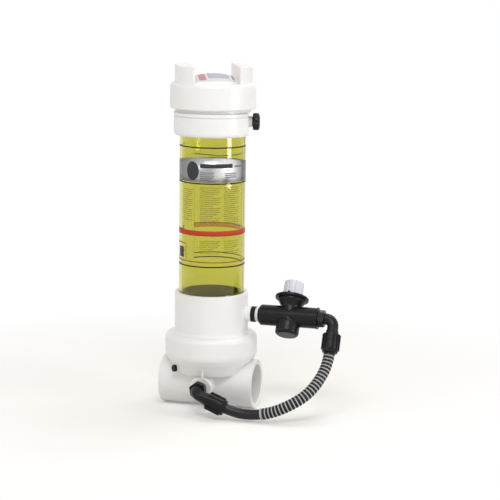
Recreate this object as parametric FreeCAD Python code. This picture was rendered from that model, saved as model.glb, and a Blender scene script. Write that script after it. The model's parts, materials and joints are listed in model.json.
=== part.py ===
import FreeCAD, Part
import math
import os
from FreeCAD import Vector

# Inline pool chlorinator: a clear tablet chamber between a screw cap and a base that sits on a pipe tee.
# A hose takes water from the tee through a control valve into the chamber, and a check valve lets it out.
# Millimetres. The origin is the middle of the pipe run, +X along the run, +Z up the chamber.

# Tube
TUBE_RADIUS = 50.8
TUBE_WALL = 3.8
GLUE_GAP = 0.15

# Pipe tee
SOCKET_RADIUS = 30.25
SOCKET_DEPTH = 38.0
WATERWAY_RADIUS = 26.0
SOCKET_WALL = 7.55
RUN_RADIUS = SOCKET_RADIUS + SOCKET_WALL
RUN_HALF_LENGTH = 74.6
SOCKET_LEAD = 1.2

# Bowl above the run, one moulding with the tee
BOWL_RADIUS = 63.0
BOWL_WALL = 5.0
BOWL_FOOT_RADIUS = 37.0
BOWL_FOOT_HEIGHT = 11.5
BOWL_SIDE_HEIGHT = 26.0
BOWL_RIM_HEIGHT = 46.0
BOWL_RIB_WIDTH = 2.0
BOWL_RIB_HEIGHT = 12.0

# Take-off boss on the front of the tee
TAKEOFF_RADIUS = 17.5
TAKEOFF_PROUD = 16.2
TAKEOFF_FACE = RUN_RADIUS + TAKEOFF_PROUD
TAKEOFF_EDGE = 2.5

# Base housing: the bell over the bowl and the sleeve round the tube
BELL_OVERHANG = 8.4
BELL_RADIUS = BOWL_RADIUS + BELL_OVERHANG
BELL_FOOT_WALL = 2.2
BELL_FOOT_RADIUS = BOWL_RADIUS + BELL_FOOT_WALL
BELL_LAP = 12.0
BELL_FOOT_HEIGHT = BOWL_RIM_HEIGHT - BELL_LAP
BELL_HEIGHT = 33.0
BELL_TOP_HEIGHT = BOWL_RIM_HEIGHT + BELL_HEIGHT
BELL_WALL = 6.5
SLEEVE_SIDE = 6.2
SLEEVE_RADIUS = TUBE_RADIUS + SLEEVE_SIDE
SLEEVE_WALL = 5.0
LEDGE_REACH = 4.8
LEDGE_RADIUS = TUBE_RADIUS - LEDGE_REACH
LEDGE_RISE = 42.0
LEDGE_TOP = BELL_TOP_HEIGHT + LEDGE_RISE
LEDGE_THICKNESS = 23.0
LEDGE_FOOT = LEDGE_TOP - LEDGE_THICKNESS
SLEEVE_LAP = 21.6
SLEEVE_TOP = LEDGE_TOP + SLEEVE_LAP
SEAM_WIDTH = 0.9
SEAM_PROUD = 0.35
SEAM_ANGLE = -67.0

# Tablet grid, with the tube standing on it
GRID_THICKNESS = 3.0
TUBE_LENGTH = 276.0
TUBE_TOP = LEDGE_TOP + GRID_THICKNESS + TUBE_LENGTH
GRID_HOLE_RADIUS = 3.4
GRID_RING_STEP = 13.2
GRID_RINGS = 3

# Neck collar
COLLAR_SIDE = 9.2
COLLAR_RADIUS = TUBE_RADIUS + COLLAR_SIDE
COLLAR_LAP = 15.0
COLLAR_FOOT = TUBE_TOP - COLLAR_LAP
COLLAR_HEIGHT = 29.0
COLLAR_TOP = COLLAR_FOOT + COLLAR_HEIGHT
COLLAR_EDGE = 6.0
COLLAR_GROOVE_DEPTH = 1.6
COLLAR_GROOVE_RADIUS = COLLAR_RADIUS - COLLAR_GROOVE_DEPTH
COLLAR_GROOVE_HEIGHT = 2.0
STOP_PROUD = 0.5
STOP_RADIUS = COLLAR_RADIUS + STOP_PROUD
STOP_HEIGHT = 5.0
STOP_TOP = COLLAR_TOP + COLLAR_GROOVE_HEIGHT + STOP_HEIGHT
NECK_SIDE = 6.2
NECK_RADIUS = TUBE_RADIUS + NECK_SIDE
NECK_LENGTH = 31.0
NECK_TOP = STOP_TOP + NECK_LENGTH
NECK_SHOULDER = 0.5
NECK_BORE = TUBE_RADIUS - TUBE_WALL - NECK_SHOULDER

# Screw cap
CAP_THREAD_GAP = 4.2
CAP_BORE = NECK_RADIUS + CAP_THREAD_GAP
CAP_SIDE = 4.8
CAP_RADIUS = CAP_BORE + CAP_SIDE
CAP_STOP_GAP = 5.2
CAP_FOOT = STOP_TOP + CAP_STOP_GAP
CAP_PLATE_GAP = 1.0
CAP_CEILING = NECK_TOP + CAP_PLATE_GAP
CAP_PLATE = 13.0
CAP_SHOULDER = CAP_CEILING + CAP_PLATE
CAP_EDGE = 6.0
DOME_SETBACK = 16.0
DOME_RADIUS = CAP_RADIUS - DOME_SETBACK
DOME_RISE = 13.7
CAP_WALL = 5.0
LUG_SETBACK = 9.5
LUG_OUTER = CAP_RADIUS - LUG_SETBACK
LUG_WIDTH = 22.6
LUG_INNER = LUG_OUTER - LUG_WIDTH
LUG_END_SETBACK = 4.0
LUG_END_RADIUS = CAP_RADIUS - LUG_END_SETBACK
LUG_HEIGHT = 26.0
LUG_TOP = CAP_SHOULDER + LUG_HEIGHT
LUG_EDGE = 2.0
LUG_TURN = 24.0
CAP_RING_SETBACK = 5.2
CAP_RING_RADIUS = NECK_RADIUS - CAP_RING_SETBACK
CAP_RING_SECTION = 2.6
MOVING_GAP = 0.3

# Air bleed valve on the collar's flat
BLEED_TURN = 15.0
BLEED_RISE = 21.0
BLEED_HEIGHT = COLLAR_FOOT + BLEED_RISE
BLEED_FLAT_WALL = 3.4
BLEED_FLAT = TUBE_RADIUS + BLEED_FLAT_WALL
BLEED_BOSS_RADIUS = 8.5
BLEED_BOSS_PROUD = 5.4
BLEED_BOSS_FACE = BLEED_FLAT + BLEED_BOSS_PROUD
BLEED_SCREW_RADIUS = 3.2
BLEED_WASHER_RADIUS = 7.4
BLEED_WASHER_THICKNESS = 1.0
BLEED_KNOB_RADIUS = 13.2
BLEED_KNOB_LENGTH = 11.0
BLEED_KNOB_LOBES = 8
BLEED_KNOB_CREST = 1.8
BLEED_KNOB_EDGE = 3.0
RUNNING_GAP = 0.08
SEAL_GAP = 0.05

# Outlet check valve in the bowl floor
CHECK_X = 26.0
CHECK_LANDING_RADIUS = 13.0
CHECK_LANDING_PROUD = 2.0
CHECK_LANDING_HEIGHT = RUN_RADIUS + CHECK_LANDING_PROUD
CHECK_BARREL_RADIUS = 8.8
CHECK_FLANGE_THICKNESS = 2.2
CHECK_DEPTH = 17.8
CHECK_FOOT = CHECK_LANDING_HEIGHT - CHECK_DEPTH
CHECK_FLOOR_THICKNESS = 2.0
CHECK_BALL_RADIUS = 4.8
CHECK_BORE_GAP = 0.4
CHECK_BALL_DROP = 0.45
CHECK_SEAT_RADIUS = 3.4
CHECK_SLOTS = 3
CHECK_SLOT_WIDTH = 4.0
SPRING_RADIUS = 3.5
SPRING_WIRE_RADIUS = 0.4
SPRING_TURNS = 4.0

# Drain plug on the bowl
DRAIN_TURN = 227.0
DRAIN_RISE = 0.5
DRAIN_HEIGHT = BOWL_SIDE_HEIGHT + DRAIN_RISE
DRAIN_BOSS_RADIUS = 7.0
DRAIN_BOSS_FACE = BOWL_RADIUS
DRAIN_SCREW_RADIUS = 3.4
DRAIN_HEAD_RADIUS = 5.4
DRAIN_HEAD_LENGTH = 4.0
DRAIN_SLOT_WIDTH = 1.2
DRAIN_WASHER_THICKNESS = 0.8

# Nipple between the housing and the control valve
VALVE_RISE = 31.0
VALVE_HEIGHT = BELL_TOP_HEIGHT + VALVE_RISE
NIPPLE_RADIUS = 10.67
NIPPLE_BORE = 6.5
NIPPLE_SPIGOT_RADIUS = 8.8
NIPPLE_BOSS_PROUD = 8.0
NIPPLE_STEP = SLEEVE_RADIUS + NIPPLE_BOSS_PROUD
NIPPLE_SPIGOT_LENGTH = 17.0
NIPPLE_SPIGOT_START = NIPPLE_STEP - NIPPLE_SPIGOT_LENGTH
NIPPLE_BOSS_RADIUS = 12.0
NIPPLE_RING_RADIUS = 12.2
NIPPLE_RING_LENGTH = 6.8
NIPPLE_RING_NOTCHES = 20
NIPPLE_RING_NOTCH = 0.6
THREAD_FIT = 0.05

# Control valve, in its own frame: barrel along X, stem along Z, then rolled back about X
VALVE_ROLL = -32.0
BARREL_RADIUS = 16.0
BARREL_LEFT = 48.0
NIPPLE_SHOWING = 12.0
STEM_X = NIPPLE_STEP + NIPPLE_SHOWING + BARREL_LEFT
BARREL_RIGHT = 46.0
BARREL_CHAMFER = 4.0
BARREL_RIM_PROUD = 0.7
BARREL_RIM_LENGTH = 2.4
BARREL_BORE = 6.5
PORT_DEPTH = 14.0
STEM_BARREL_RADIUS = 15.0
STEM_BARREL_FOOT = 18.0
BONNET_FOOT = 15.0
BONNET_RADIUS = 21.0
BONNET_TOP = 27.0
BOTTOM_CAP_RADIUS = 18.2
BOTTOM_CAP_LENGTH = 13.0
BOTTOM_CAP_EDGE = 5.0
BOTTOM_SPIGOT = 4.0
PLUG_RADIUS = 10.0
PLUG_TOP = 12.0
STEM_RADIUS = 4.0
STEM_PROUD = 25.0
STEM_TOP = BONNET_TOP + STEM_PROUD
STEM_RING_RADIUS = 5.9
STEM_RING_SECTION = 1.4
DIAL_RADIUS = 26.0
DIAL_THICKNESS = 2.6
DIAL_RIM_HEIGHT = 1.4
DIAL_RIM_WIDTH = 2.0
DIAL_POINTER = 3.6
KNOB_RADIUS = 16.0
KNOB_TAPER = 1.0
KNOB_LENGTH = 26.0
KNOB_FLUTES = 10
KNOB_FLUTE_RADIUS = 2.6
KNOB_EDGE = 1.6
KNOB_SCREW_RADIUS = 3.6
KNOB_SCREW_HEAD = 2.4

# Hose elbows and their compression nuts
ELBOW_SPIGOT_RADIUS = 8.9
ELBOW_SPIGOT_LENGTH = 13.5
ELBOW_HEX_RADIUS = 13.6
ELBOW_HEX_LENGTH = 10.0
ELBOW_REACH = 24.0
ELBOW_BEND = 12.0
ELBOW_ARM_RADIUS = 8.6
ELBOW_STUB_START = 18.0
ELBOW_STUB_LENGTH = 20.0
ELBOW_STUB_END = ELBOW_STUB_START + ELBOW_STUB_LENGTH
ELBOW_STUB_RADIUS = 9.6
ELBOW_BORE = 5.5
LOWER_THREAD_SHOWING = 9.0
UPPER_TILT = -27.0
LOWER_DROP = 22.5
NUT_START = 23.0
NUT_LENGTH = 30.0
NUT_END = NUT_START + NUT_LENGTH
NUT_RADIUS = 13.2
NUT_NOSE_RADIUS = 11.4
NUT_RIBS = 12
NUT_RIB_PROUD = 1.1
NUT_RIB_WIDTH = 2.6
FERRULE_RADIUS = 9.4
FERRULE_LENGTH = 6.0

# Hose and its ribbed guard
HOSE_RADIUS = 7.85
HOSE_GAP = 0.15
GUARD_RADIUS = 8.7
HOSE_LEAD = 66.0
HOSE_LEAD_STEP = 2.0
HOSE_ROUTE_MIDDLE = [
    (187.0, -48.0, 27.0),
    (172.0, -66.0, 6.0),
    (149.0, -79.0, -9.0),
    (123.0, -85.0, -21.0),
    (95.0, -86.0, -27.0),
]
GUARD_BENDS = 5

X_AXIS = Vector(1, 0, 0)
Z_AXIS = Vector(0, 0, 1)
ORIGIN = Vector(0, 0, 0)


def save(name, shape):
    shape.exportStep(os.path.join("parts", name + ".step"))


def rounded_face(corners):
    """A flat face in the XZ plane from (x, z, round) corners in order."""
    points = [Vector(x, 0, z) for x, z, _ in corners]
    count = len(points)
    edges = []
    starts = []
    ends = []
    for i, corner in enumerate(corners):
        here = points[i]
        back = (points[i - 1] - here).normalize()
        ahead = (points[(i + 1) % count] - here).normalize()
        if corner[2] == 0:
            starts.append(here)
            ends.append(here)
            edges.append(None)
            continue
        half = back.getAngle(ahead) / 2
        reach = corner[2] / math.tan(half)
        middle = (back + ahead).normalize()
        centre = here + middle * (corner[2] / math.sin(half))
        starts.append(here + back * reach)
        ends.append(here + ahead * reach)
        edges.append(Part.Arc(starts[i], centre - middle * corner[2], ends[i]).toShape())
    outline = []
    for i in range(count):
        if edges[i] is not None:
            outline.append(edges[i])
        following = starts[(i + 1) % count]
        if ends[i].distanceToPoint(following) > 1e-6:
            outline.append(Part.LineSegment(ends[i], following).toShape())
    return Part.Face(Part.Wire(outline))


def turned(corners):
    """A solid turned about Z from (radius, height, round) corners."""
    return rounded_face(corners).revolve(ORIGIN, Z_AXIS, 360)


def rod(radius, start, end):
    """A round bar along Z."""
    return Part.makeCylinder(radius, end - start, Vector(0, 0, start), Z_AXIS)


def pipe(outer, inner, start, end):
    return rod(outer, start, end).cut(rod(inner, start - 1, end + 1))


def torus(radius, section, height):
    return Part.makeTorus(radius, section, Vector(0, 0, height), Z_AXIS)


def block(low, high):
    size = Vector(*high) - Vector(*low)
    return Part.makeBox(size.x, size.y, size.z, Vector(*low))


def hexagon(radius, start, end):
    corners = [Vector(radius, 0, start)]
    for i in range(1, 7):
        angle = math.radians(60 * i)
        corners.append(Vector(radius * math.cos(angle), radius * math.sin(angle), start))
    return Part.Face(Part.makePolygon(corners)).extrude(Vector(0, 0, end - start))


def around(shape, count):
    """Copies of a shape evenly round Z."""
    copies = []
    for i in range(count):
        copy = shape.copy()
        copy.rotate(ORIGIN, Z_AXIS, 360.0 * i / count)
        copies.append(copy)
    return copies


def fuse(shape, *others):
    return shape.fuse(list(others)).removeSplitter()


def placed(shape, origin, x_way, z_way):
    """Moves a shape so that its own X and Z axes point the given ways."""
    x_way = Vector(x_way).normalize()
    z_way = Vector(z_way).normalize()
    y_way = z_way.cross(x_way)
    matrix = FreeCAD.Matrix(
        x_way.x, y_way.x, z_way.x, origin.x,
        x_way.y, y_way.y, z_way.y, origin.y,
        x_way.z, y_way.z, z_way.z, origin.z,
        0, 0, 0, 1)
    copy = shape.copy()
    copy.Placement = FreeCAD.Placement(matrix).multiply(copy.Placement)
    return copy


def heading(degrees):
    return Vector(math.cos(math.radians(degrees)), math.sin(math.radians(degrees)), 0)


def tee_fitting():
    run = turned([(0, -RUN_HALF_LENGTH, 0), (RUN_RADIUS, -RUN_HALF_LENGTH, 1.0),
                  (RUN_RADIUS, RUN_HALF_LENGTH, 1.0), (0, RUN_HALF_LENGTH, 0)])
    run = placed(run, ORIGIN, Vector(0, 0, -1), X_AXIS)
    side = BOWL_RADIUS - BOWL_WALL
    bowl = turned([(0, 0, 0), (BOWL_FOOT_RADIUS - 9, 0, 0), (BOWL_FOOT_RADIUS, BOWL_FOOT_HEIGHT, 3),
                   (BOWL_RADIUS - 7, BOWL_SIDE_HEIGHT - 9, 8), (BOWL_RADIUS, BOWL_SIDE_HEIGHT + 6, 12),
                   (BOWL_RADIUS, BOWL_RIM_HEIGHT, 0.8), (0, BOWL_RIM_HEIGHT, 0)])
    cavity = turned([(0, BOWL_FOOT_HEIGHT + 6, 0), (BOWL_FOOT_RADIUS, BOWL_FOOT_HEIGHT + 6, 0),
                     (side - 6, BOWL_SIDE_HEIGHT - 4, 5), (side, BOWL_SIDE_HEIGHT + 8, 8),
                     (side, BOWL_RIM_HEIGHT + 1, 0), (0, BOWL_RIM_HEIGHT + 1, 0)])
    bowl = bowl.cut(cavity)
    rib = block((-BOWL_RIB_WIDTH / 2, -BOWL_RADIUS - 0.6, BOWL_SIDE_HEIGHT - 8),
                (BOWL_RIB_WIDTH / 2, -BOWL_RADIUS + 3, BOWL_SIDE_HEIGHT - 8 + BOWL_RIB_HEIGHT))
    rib.rotate(ORIGIN, Z_AXIS, 5)
    boss = turned([(0, 20, 0), (TAKEOFF_RADIUS, 20, 0), (TAKEOFF_RADIUS, TAKEOFF_FACE, TAKEOFF_EDGE),
                   (0, TAKEOFF_FACE, 0)])
    boss = placed(boss, ORIGIN, X_AXIS, Vector(0, -1, 0))
    landing = rod(CHECK_LANDING_RADIUS, 20, CHECK_LANDING_HEIGHT)
    landing.translate(Vector(CHECK_X, 0, 0))
    drain = rod(DRAIN_BOSS_RADIUS, BOWL_RADIUS - 9, DRAIN_BOSS_FACE)
    drain = placed(drain, Vector(0, 0, DRAIN_HEIGHT), Z_AXIS, heading(DRAIN_TURN))
    body = fuse(run, bowl, rib, boss, landing, drain)
    water = rod(WATERWAY_RADIUS, -RUN_HALF_LENGTH, RUN_HALF_LENGTH)
    mouth = turned([(0, 0, 0), (SOCKET_RADIUS, 0, 0), (SOCKET_RADIUS, SOCKET_DEPTH - SOCKET_LEAD, 0),
                    (SOCKET_RADIUS + SOCKET_LEAD, SOCKET_DEPTH, 0), (0, SOCKET_DEPTH, 0)])
    start = RUN_HALF_LENGTH - SOCKET_DEPTH
    cuts = [placed(water, ORIGIN, Vector(0, 0, -1), X_AXIS),
            placed(mouth, Vector(start, 0, 0), Vector(0, 0, -1), X_AXIS),
            placed(mouth, Vector(-start, 0, 0), Z_AXIS, Vector(-1, 0, 0))]
    takeoff = rod(ELBOW_SPIGOT_RADIUS + THREAD_FIT, 0, TAKEOFF_FACE + 1)
    cuts.append(placed(takeoff, ORIGIN, X_AXIS, Vector(0, -1, 0)))
    outlet = rod(CHECK_BARREL_RADIUS + GLUE_GAP, 0, CHECK_LANDING_HEIGHT + 1)
    outlet.translate(Vector(CHECK_X, 0, 0))
    cuts.append(outlet)
    hole = rod(DRAIN_SCREW_RADIUS + RUNNING_GAP, BOWL_RADIUS - 16, DRAIN_BOSS_FACE + 1)
    cuts.append(placed(hole, Vector(0, 0, DRAIN_HEIGHT), Z_AXIS, heading(DRAIN_TURN)))
    return body.cut(cuts)


def base_housing():
    shell = turned([(LEDGE_RADIUS, SLEEVE_TOP, 0), (SLEEVE_RADIUS, SLEEVE_TOP, 1.2),
                    (SLEEVE_RADIUS, BELL_TOP_HEIGHT, 5.0), (BELL_RADIUS, BELL_TOP_HEIGHT, 9.0),
                    (BELL_RADIUS, BOWL_RIM_HEIGHT, 18.0), (BELL_FOOT_RADIUS, BELL_FOOT_HEIGHT, 0.8),
                    (LEDGE_RADIUS, BELL_FOOT_HEIGHT, 0)])
    seam = block((SLEEVE_RADIUS - 1, -SEAM_WIDTH / 2, BELL_TOP_HEIGHT - 1),
                 (SLEEVE_RADIUS + SEAM_PROUD, SEAM_WIDTH / 2, SLEEVE_TOP - 1.5))
    seam.rotate(ORIGIN, Z_AXIS, SEAM_ANGLE)
    boss = rod(NIPPLE_BOSS_RADIUS, LEDGE_RADIUS + 3, NIPPLE_STEP)
    boss = placed(boss, Vector(0, 0, VALVE_HEIGHT), Z_AXIS, X_AXIS)
    body = fuse(shell, seam, boss)
    inside = SLEEVE_RADIUS - SLEEVE_WALL
    wide = BELL_RADIUS - BELL_WALL - 4
    hollow = turned([(0, BELL_FOOT_HEIGHT - 1, 0), (BOWL_RADIUS + GLUE_GAP, BELL_FOOT_HEIGHT - 1, 0),
                     (BOWL_RADIUS + GLUE_GAP, BOWL_RIM_HEIGHT, 0), (wide, BOWL_RIM_HEIGHT, 0),
                     (wide, BELL_TOP_HEIGHT - BELL_WALL, 6), (inside, BELL_TOP_HEIGHT, 3),
                     (inside, LEDGE_FOOT, 3), (LEDGE_RADIUS, LEDGE_FOOT + 4, 0), (LEDGE_RADIUS, LEDGE_TOP, 0),
                     (TUBE_RADIUS + GLUE_GAP, LEDGE_TOP, 0), (TUBE_RADIUS + GLUE_GAP, SLEEVE_TOP + 1, 0),
                     (0, SLEEVE_TOP + 1, 0)])
    port = rod(NIPPLE_SPIGOT_RADIUS + THREAD_FIT, LEDGE_RADIUS - 4, NIPPLE_STEP + 1)
    port = placed(port, Vector(0, 0, VALVE_HEIGHT), Z_AXIS, X_AXIS)
    saddle = along_x(rod(RUN_RADIUS + GLUE_GAP, -BELL_RADIUS - 1, BELL_RADIUS + 1))
    return body.cut([hollow, port, saddle])


def tablet_grid():
    grid = rod(TUBE_RADIUS - GLUE_GAP, LEDGE_TOP, LEDGE_TOP + GRID_THICKNESS)
    hole = rod(GRID_HOLE_RADIUS, LEDGE_TOP - 1, LEDGE_TOP + GRID_THICKNESS + 1)
    holes = [hole.copy()]
    for ring in range(1, GRID_RINGS + 1):
        first = hole.copy()
        first.translate(Vector(ring * GRID_RING_STEP, 0, 0))
        holes += around(first, 6 * ring)
    return grid.cut(holes)


def chamber_tube():
    return pipe(TUBE_RADIUS, TUBE_RADIUS - TUBE_WALL, LEDGE_TOP + GRID_THICKNESS, TUBE_TOP)


def neck_collar():
    stop_foot = COLLAR_TOP + COLLAR_GROOVE_HEIGHT
    body = turned([(NECK_BORE, COLLAR_FOOT, 0), (COLLAR_RADIUS, COLLAR_FOOT, COLLAR_EDGE),
                   (COLLAR_RADIUS, COLLAR_TOP, 0.6), (COLLAR_GROOVE_RADIUS, COLLAR_TOP, 0),
                   (COLLAR_GROOVE_RADIUS, stop_foot, 0), (STOP_RADIUS, stop_foot, 0.6),
                   (STOP_RADIUS, STOP_TOP, 1.2), (NECK_RADIUS, STOP_TOP, 0),
                   (NECK_RADIUS, NECK_TOP, 1.5), (NECK_BORE, NECK_TOP, 0.8)])
    socket = rod(TUBE_RADIUS + GLUE_GAP, COLLAR_FOOT - 1, TUBE_TOP)
    out = heading(BLEED_TURN)
    width = 2 * COLLAR_RADIUS
    flat = block((BLEED_FLAT, -width / 2, COLLAR_FOOT - 1), (BLEED_FLAT + 20, width / 2, STOP_TOP))
    flat.rotate(ORIGIN, Z_AXIS, BLEED_TURN)
    boss = rod(BLEED_BOSS_RADIUS, BLEED_FLAT - 3, BLEED_BOSS_FACE)
    hole = rod(BLEED_SCREW_RADIUS + RUNNING_GAP, NECK_BORE - 4, BLEED_BOSS_FACE + 1)
    at = Vector(0, 0, BLEED_HEIGHT)
    body = body.cut([socket, flat])
    body = fuse(body, placed(boss, at, Z_AXIS, out))
    return body.cut(placed(hole, at, Z_AXIS, out))


def dome_solid(base_radius, rise, base_height):
    """The top of a ball that stands rise above base_height and is base_radius wide there."""
    ball_radius = (base_radius ** 2 + rise ** 2) / (2 * rise)
    ball = Part.makeSphere(ball_radius, Vector(0, 0, base_height + rise - ball_radius))
    return ball.common(rod(base_radius + 1, base_height, base_height + rise + 1))


def cap_lugs():
    half = LUG_END_RADIUS + 1
    lug = block((LUG_INNER, -half, CAP_SHOULDER - 4), (LUG_OUTER, half, LUG_TOP))
    lug = lug.common(rod(LUG_END_RADIUS, CAP_SHOULDER - 4, LUG_TOP))
    edges = [edge for edge in lug.Edges if edge.BoundBox.ZMax > LUG_TOP - 0.01]
    lug = lug.makeFillet(LUG_EDGE, edges)
    return around(lug, 2)


def lid_cap():
    shell = turned([(0, CAP_FOOT, 0), (CAP_RADIUS, CAP_FOOT, 3.0), (CAP_RADIUS, CAP_SHOULDER, CAP_EDGE),
                    (0, CAP_SHOULDER, 0)])
    dome = dome_solid(DOME_RADIUS, DOME_RISE, CAP_SHOULDER - 1)
    body = fuse(shell, dome, *cap_lugs())
    body.rotate(ORIGIN, Z_AXIS, LUG_TURN)
    hollow = turned([(0, CAP_FOOT - 1, 0), (CAP_BORE, CAP_FOOT - 1, 0), (CAP_BORE, CAP_CEILING, 1.5),
                     (0, CAP_CEILING, 0)])
    inner = dome_solid(NECK_BORE - 1, DOME_RISE - 2, CAP_SHOULDER - CAP_WALL)
    well = rod(NECK_BORE - 1, CAP_CEILING - 1, CAP_SHOULDER - CAP_WALL)
    gap = CAP_RING_SECTION + MOVING_GAP
    ring_top = NECK_TOP + MOVING_GAP + 2 * CAP_RING_SECTION
    groove = pipe(CAP_RING_RADIUS + gap, CAP_RING_RADIUS - gap, CAP_CEILING - 1, ring_top + MOVING_GAP)
    return body.cut([hollow, inner, well, groove])


def cap_o_ring():
    return torus(CAP_RING_RADIUS, CAP_RING_SECTION, NECK_TOP + MOVING_GAP + CAP_RING_SECTION)


def bleed_washer():
    start = BLEED_BOSS_FACE
    ring = pipe(BLEED_WASHER_RADIUS, BLEED_SCREW_RADIUS + MOVING_GAP, start, start + BLEED_WASHER_THICKNESS)
    return placed(ring, Vector(0, 0, BLEED_HEIGHT), Z_AXIS, heading(BLEED_TURN))


def bleed_knob():
    start = BLEED_BOSS_FACE + BLEED_WASHER_THICKNESS + SEAL_GAP
    end = start + BLEED_KNOB_LENGTH
    knob = turned([(0, start, 0), (BLEED_KNOB_RADIUS - 1, start, 1.0), (BLEED_KNOB_RADIUS, start + 3, 1.0),
                   (BLEED_KNOB_RADIUS, end - BLEED_KNOB_CREST, BLEED_KNOB_EDGE),
                   (BLEED_KNOB_RADIUS - 5, end, 2.0), (0, end, 0)])
    dip = rod(3.6, start - 1, end + 1)
    dip.translate(Vector(BLEED_KNOB_RADIUS + 2.2, 0, 0))
    knob = knob.cut(around(dip, BLEED_KNOB_LOBES))
    knob = fuse(knob, rod(BLEED_SCREW_RADIUS, NECK_BORE + 1, start + 1))
    return placed(knob, Vector(0, 0, BLEED_HEIGHT), Z_AXIS, heading(BLEED_TURN))


def drain_washer():
    ring = pipe(DRAIN_HEAD_RADIUS, DRAIN_SCREW_RADIUS + MOVING_GAP, DRAIN_BOSS_FACE,
                DRAIN_BOSS_FACE + DRAIN_WASHER_THICKNESS)
    return placed(ring, Vector(0, 0, DRAIN_HEIGHT), Z_AXIS, heading(DRAIN_TURN))


def drain_plug():
    start = DRAIN_BOSS_FACE + DRAIN_WASHER_THICKNESS + SEAL_GAP
    end = start + DRAIN_HEAD_LENGTH
    plug = turned([(0, BOWL_RADIUS - 12, 0), (DRAIN_SCREW_RADIUS, BOWL_RADIUS - 12, 0.6),
                   (DRAIN_SCREW_RADIUS, start, 0), (DRAIN_HEAD_RADIUS, start, 0),
                   (DRAIN_HEAD_RADIUS, end, 1.2), (0, end, 0)])
    slot = block((-DRAIN_HEAD_RADIUS - 1, -DRAIN_SLOT_WIDTH / 2, end - 1.6),
                 (DRAIN_HEAD_RADIUS + 1, DRAIN_SLOT_WIDTH / 2, end + 1))
    return placed(plug.cut(slot), Vector(0, 0, DRAIN_HEIGHT), Z_AXIS, heading(DRAIN_TURN))


def check_ball_height():
    seat = CHECK_LANDING_HEIGHT - 1
    return seat - math.sqrt(CHECK_BALL_RADIUS ** 2 - CHECK_SEAT_RADIUS ** 2) - CHECK_BALL_DROP


def check_cage():
    bore = CHECK_BALL_RADIUS + CHECK_BORE_GAP
    top = CHECK_LANDING_HEIGHT + CHECK_FLANGE_THICKNESS
    seat = CHECK_LANDING_HEIGHT - 1
    body = turned([(0, CHECK_FOOT, 0), (CHECK_BARREL_RADIUS, CHECK_FOOT, 0.8),
                   (CHECK_BARREL_RADIUS, CHECK_LANDING_HEIGHT, 0),
                   (CHECK_LANDING_RADIUS - 0.5, CHECK_LANDING_HEIGHT, 0),
                   (CHECK_LANDING_RADIUS - 0.5, top, 0.6), (0, top, 0)])
    slot = block((0, -CHECK_SLOT_WIDTH / 2, CHECK_FOOT + CHECK_FLOOR_THICKNESS),
                 (CHECK_BARREL_RADIUS + 1, CHECK_SLOT_WIDTH / 2, CHECK_LANDING_HEIGHT - 8))
    cuts = [rod(bore, CHECK_FOOT + CHECK_FLOOR_THICKNESS, seat), rod(CHECK_SEAT_RADIUS, seat - 1, top + 1),
            rod(SPRING_RADIUS - 1, CHECK_FOOT - 1, CHECK_FOOT + CHECK_FLOOR_THICKNESS + 1)]
    body = body.cut(cuts + around(slot, CHECK_SLOTS))
    body.translate(Vector(CHECK_X, 0, 0))
    return body


def check_ball():
    return Part.makeSphere(CHECK_BALL_RADIUS, Vector(CHECK_X, 0, check_ball_height()))


def check_spring():
    foot = CHECK_FOOT + CHECK_FLOOR_THICKNESS + SPRING_WIRE_RADIUS + 0.1
    under = check_ball_height() - math.sqrt((CHECK_BALL_RADIUS + SPRING_WIRE_RADIUS) ** 2 - SPRING_RADIUS ** 2)
    rise = under - 0.1 - foot
    helix = Part.makeHelix(rise / SPRING_TURNS, rise, SPRING_RADIUS)
    wire = Part.Wire(Part.makeCircle(SPRING_WIRE_RADIUS, Vector(SPRING_RADIUS, 0, 0), Vector(0, 1, 0)))
    spring = Part.Wire(helix.Edges).makePipeShell([wire], True, True)
    spring.translate(Vector(CHECK_X, 0, foot))
    return spring


def on_valve_line(shape, start=0.0):
    """Turns a shape from Z to the valve's line, X at VALVE_HEIGHT."""
    return placed(shape, Vector(start, 0, VALVE_HEIGHT), Z_AXIS, X_AXIS)


def valve_nipple():
    end = STEM_X - BARREL_LEFT + PORT_DEPTH - 0.5
    body = turned([(NIPPLE_BORE, NIPPLE_SPIGOT_START, 0), (NIPPLE_SPIGOT_RADIUS, NIPPLE_SPIGOT_START, 0.6),
                   (NIPPLE_SPIGOT_RADIUS, NIPPLE_STEP, 0), (NIPPLE_RADIUS, NIPPLE_STEP, 0),
                   (NIPPLE_RADIUS, end, 0.8), (NIPPLE_BORE, end, 0)])
    return on_valve_line(body)


def nipple_ring():
    start = NIPPLE_STEP + 0.6
    end = start + NIPPLE_RING_LENGTH
    ring = turned([(NIPPLE_RADIUS + THREAD_FIT, start, 0), (NIPPLE_RING_RADIUS, start, 0.5),
                   (NIPPLE_RING_RADIUS, end, 0.5), (NIPPLE_RADIUS + THREAD_FIT, end, 0)])
    notch = rod(NIPPLE_RING_NOTCH, start - 1, end + 1)
    notch.translate(Vector(NIPPLE_RING_RADIUS + 0.2, 0, 0))
    return on_valve_line(ring.cut(around(notch, NIPPLE_RING_NOTCHES)))


def in_valve(shape):
    """Rolls a shape from the valve's own frame to its place on the nipple."""
    copy = shape.copy()
    copy.rotate(ORIGIN, X_AXIS, VALVE_ROLL)
    copy.translate(Vector(STEM_X, 0, VALVE_HEIGHT))
    return copy


def along_x(shape):
    return placed(shape, ORIGIN, Z_AXIS, X_AXIS)


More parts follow.
